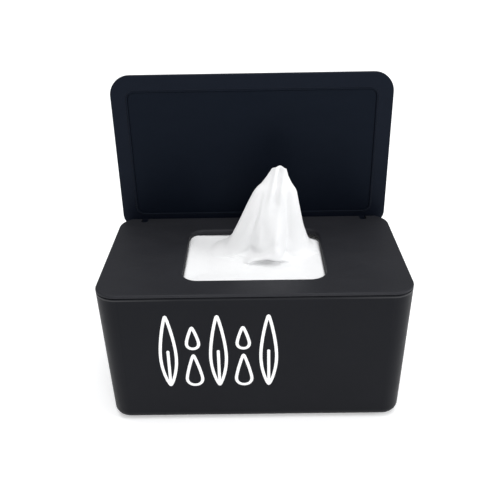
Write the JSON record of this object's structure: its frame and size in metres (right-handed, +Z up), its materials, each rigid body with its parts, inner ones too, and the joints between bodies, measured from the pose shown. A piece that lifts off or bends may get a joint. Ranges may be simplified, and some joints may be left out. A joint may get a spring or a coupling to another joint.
{
  "type": "countertop wipes dispenser",
  "caption": "Free-standing box for folded wet wipes: tapered tub, lift-off top frame with an aperture, and a hinged flip lid with a soft seal.",
  "frame": {"origin": "on the surface it stands on, below the middle of the whole outline with the lid open", "axes": "+X to the right of a user in front, +Y to the rear where the lid is hinged, +Z up"},
  "size_m": [0.19, 0.1146, 0.197],
  "materials": {
    "tub_plastic": "satin black moulded ABS",
    "frame_plastic": "satin black moulded ABS",
    "lid_plastic": "satin black moulded ABS",
    "liner_plastic": "satin black moulded ABS",
    "seal_silicone": "matt black silicone",
    "pin_steel": "drawn stainless wire",
    "foot_silicone": "matt black silicone",
    "wipe_fabric": "damp white non-woven cloth"
  },
  "bodies": {
    "tub": {"tub": "tub_plastic", "foot_front_left": "foot_silicone", "foot_front_right": "foot_silicone", "foot_rear_left": "foot_silicone", "foot_rear_right": "foot_silicone", "wipe_stack": "wipe_fabric", "pulled_wipe": "wipe_fabric"},
    "frame": {"top_frame": "frame_plastic", "hinge_pin_left": "pin_steel", "hinge_pin_right": "pin_steel"},
    "lid": {"flip_lid": "lid_plastic", "lid_liner": "liner_plastic", "lid_seal": "seal_silicone"}
  },
  "joints": [
    {"name": "frame_lift", "type": "slide", "parent": "tub", "child": "frame", "axis": [0, 0, 1], "range_m": [0, 0.08]},
    {"name": "lid_hinge", "type": "hinge", "parent": "frame", "child": "lid", "pos_m": [0, 0.04905, 0.09115], "axis": [-1, 0, 0], "range_deg": [-90, 0], "deforming": ["pulled_wipe"]}
  ]
}
